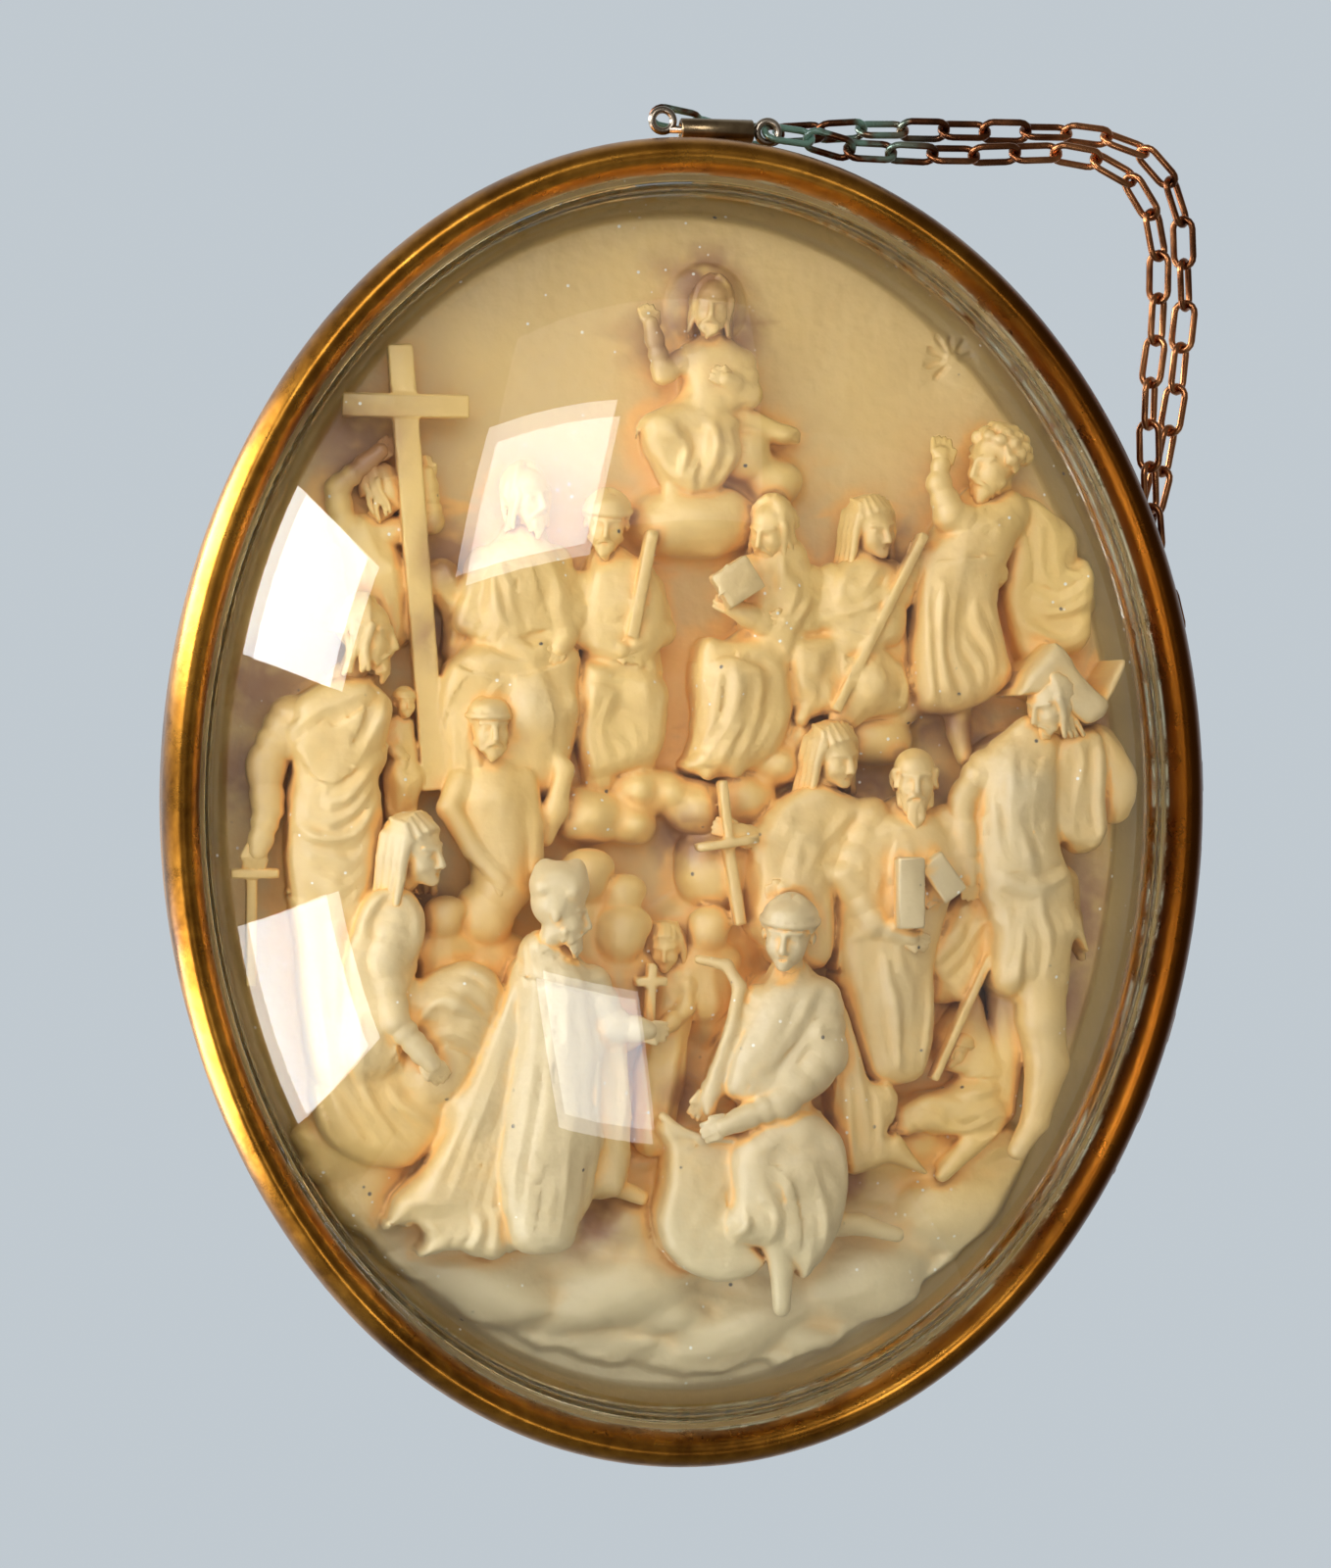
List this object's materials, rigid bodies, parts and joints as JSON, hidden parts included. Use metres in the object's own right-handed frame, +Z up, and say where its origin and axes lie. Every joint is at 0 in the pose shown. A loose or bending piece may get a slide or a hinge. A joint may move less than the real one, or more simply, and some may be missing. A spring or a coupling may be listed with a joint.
{
  "type": "glazed oval relief plaque",
  "caption": "Oval carved relief of many draped figures under a domed glass, in a rolled brass frame with a hanger tube and a link chain.",
  "frame": {"origin": "middle of the hanger tube's bore, where the plaque hangs", "axes": "+Z up as the plaque hangs on a wall, -Y out of the wall through the glass, +X to the viewer's right"},
  "size_m": [0.1101, 0.0288, 0.1391],
  "materials": {
    "frame_brass": "aged brass, golden on the high points and brown in the hollows",
    "clear_glass": "clear polished glass, a little dusty",
    "carved_cream": "carved cream mineral, waxy and warm, with brown dirt in the hollows",
    "board_wood": "plain dark board, matt",
    "hanger_brass": "aged brass",
    "wire_metal": "pale worn wire",
    "chain_copper": "copper-brown wire with golden wear and pale green spots"
  },
  "bodies": {
    "root": {"brass_frame": "frame_brass", "glass_dome": "clear_glass", "carved_relief": "carved_cream", "back_board": "board_wood", "hanger_tube": "hanger_brass", "hanger_wire": "wire_metal", "hanging_chain": "chain_copper"}
  },
  "joints": []
}
